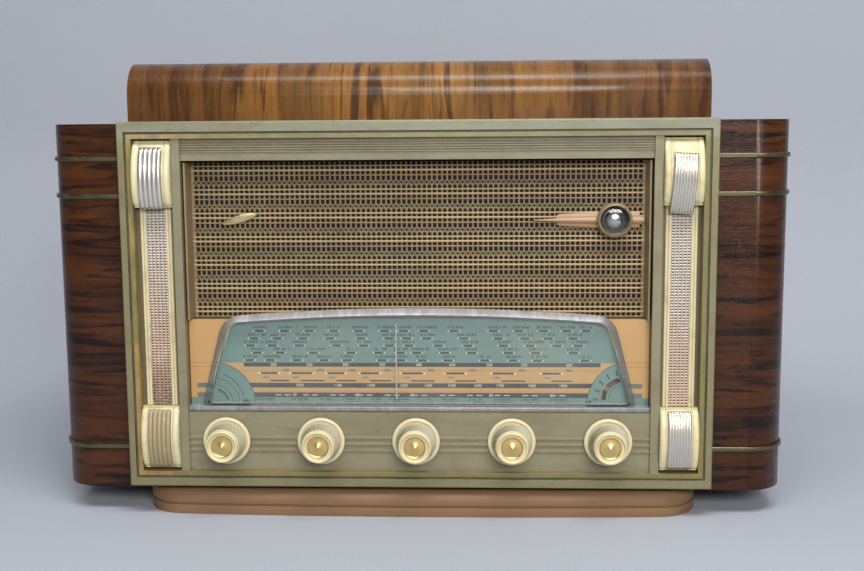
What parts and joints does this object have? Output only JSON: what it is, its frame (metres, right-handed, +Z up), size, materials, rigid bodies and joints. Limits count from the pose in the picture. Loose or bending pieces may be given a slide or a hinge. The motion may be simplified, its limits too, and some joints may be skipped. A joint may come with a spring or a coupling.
{
  "type": "table radio",
  "caption": "Table radio with rounded veneered wings, raised hood, moulded front with pierced grille, wide tuning dial, tuning eye and a row of turning knobs.",
  "frame": {"origin": "centre of the plinth's underside, below the middle of the cabinet's depth without the knobs", "axes": "+Z up, +X to the right seen from the front, front faces -Y"},
  "size_m": [0.5716, 0.251, 0.351],
  "materials": {
    "dark_veneer": "high gloss lacquer",
    "golden_veneer": "high gloss lacquer",
    "plinth_wood": "worn satin lacquer",
    "plywood": "bare",
    "khaki_paint": "satin paint on moulded phenolic",
    "dull_brass": "tarnished",
    "brown_moulding": "matt, bronzed",
    "black_cloth": "woven",
    "tan_moulding": "matt, bronzed",
    "ivory": "aged gloss",
    "valve_glass": "clear over a silvered getter",
    "plated_steel": "dull plating",
    "woven_ribbon": "metallised weave with ivory edges",
    "ribbed_chrome": "polished ribs",
    "dial_print": "printed, satin",
    "clear_acrylic": "clear",
    "needle_white": "satin",
    "gold_inlay": "spun",
    "cast_aluminium": "dull",
    "cone_paper": "felted",
    "core_iron": "varnished",
    "black_rubber": "matt",
    "pressed_board": "pressed fibre board"
  },
  "bodies": {
    "cabinet": {"plinth": "plinth_wood", "cabinet_floor": "plywood", "wing_left": "dark_veneer", "wing_right": "dark_veneer", "hood": "golden_veneer", "front_board": "plywood", "wing_beads_left": "dull_brass", "wing_beads_right": "dull_brass", "front_moulding": "khaki_paint", "grille": "brown_moulding", "grille_cloth": "black_cloth", "eye_bezel": "tan_moulding", "badge": "ivory", "magic_eye": "valve_glass", "eye_sleeve": "plated_steel", "ribbon_left": "woven_ribbon", "ribbon_right": "woven_ribbon", "clip_top_left": "ivory", "clip_top_right": "ivory", "clip_bottom_left": "ivory", "clip_bottom_right": "ivory", "plate_top_left": "ribbed_chrome", "plate_top_right": "ribbed_chrome", "plate_bottom_left": "ribbed_chrome", "plate_bottom_right": "ribbed_chrome", "dial_card": "dial_print", "dial_lens": "clear_acrylic", "pointer_rail": "plated_steel", "dial_lamps": "valve_glass", "chassis": "plated_steel", "control_cans": "plated_steel", "tuning_capacitor": "cast_aluminium", "speaker_frame": "plated_steel", "speaker_cone": "cone_paper", "mains_transformer": "core_iron", "screen_cans": "cast_aluminium", "valves": "valve_glass", "rear_sockets": "brown_moulding", "mains_grommet": "black_rubber", "back_cover": "pressed_board", "back_screws": "plated_steel"},
    "tone_control": {"knob_tone": "ivory", "inlay_tone": "gold_inlay", "spindle_tone": "plated_steel"},
    "volume_control": {"knob_volume": "ivory", "inlay_volume": "gold_inlay", "spindle_volume": "plated_steel"},
    "aerial_control": {"knob_aerial": "ivory", "inlay_aerial": "gold_inlay", "spindle_aerial": "plated_steel"},
    "tuning_control": {"knob_tuning": "ivory", "inlay_tuning": "gold_inlay", "spindle_tuning": "plated_steel"},
    "band_control": {"knob_band": "ivory", "inlay_band": "gold_inlay", "spindle_band": "plated_steel"},
    "pointer": {"dial_pointer": "needle_white"},
    "rotor": {"capacitor_rotor": "cast_aluminium", "tuning_drum": "brown_moulding"},
    "indicator": {"band_indicator": "needle_white"}
  },
  "joints": [
    {"name": "tone_turn", "type": "hinge", "parent": "cabinet", "child": "tone_control", "pos_m": [-0.14813, -0.116, 0.0605], "axis": [0, 1, 0], "range_deg": [-135, 135]},
    {"name": "volume_turn", "type": "hinge", "parent": "cabinet", "child": "volume_control", "pos_m": [-0.07461, -0.116, 0.0605], "axis": [0, 1, 0], "range_deg": [-30, 240]},
    {"name": "aerial_turn", "type": "hinge", "parent": "cabinet", "child": "aerial_control", "pos_m": [-0.0011, -0.116, 0.0605], "axis": [0, 1, 0], "range_deg": [-150, 150]},
    {"name": "tuning_turn", "type": "hinge", "parent": "cabinet", "child": "tuning_control", "pos_m": [0.07241, -0.116, 0.0605], "axis": [0, 1, 0], "range_deg": [-680, 870]},
    {"name": "band_turn", "type": "hinge", "parent": "cabinet", "child": "band_control", "pos_m": [0.14592, -0.116, 0.0605], "axis": [0, 1, 0], "range_deg": [-30, 90]},
    {"name": "pointer_slide", "type": "slide", "parent": "cabinet", "child": "pointer", "axis": [1, 0, 0], "range_m": [-0.1138, 0.1462]},
    {"name": "rotor_turn", "type": "hinge", "parent": "cabinet", "child": "rotor", "pos_m": [0.1254, -0.066, 0.132], "axis": [0, 1, 0], "range_deg": [-79, 101]},
    {"name": "indicator_turn", "type": "hinge", "parent": "cabinet", "child": "indicator", "pos_m": [0.1574, -0.096, 0.0924], "axis": [0, 1, 0], "range_deg": [-16.5, 49.5]}
  ],
  "couplings": [
    {"joint": "pointer_slide", "follows": "tuning_turn", "m_per_rad": 0.0095493},
    {"joint": "rotor_turn", "follows": "tuning_turn", "ratio": 0.11539},
    {"joint": "indicator_turn", "follows": "band_turn", "ratio": 0.55}
  ]
}
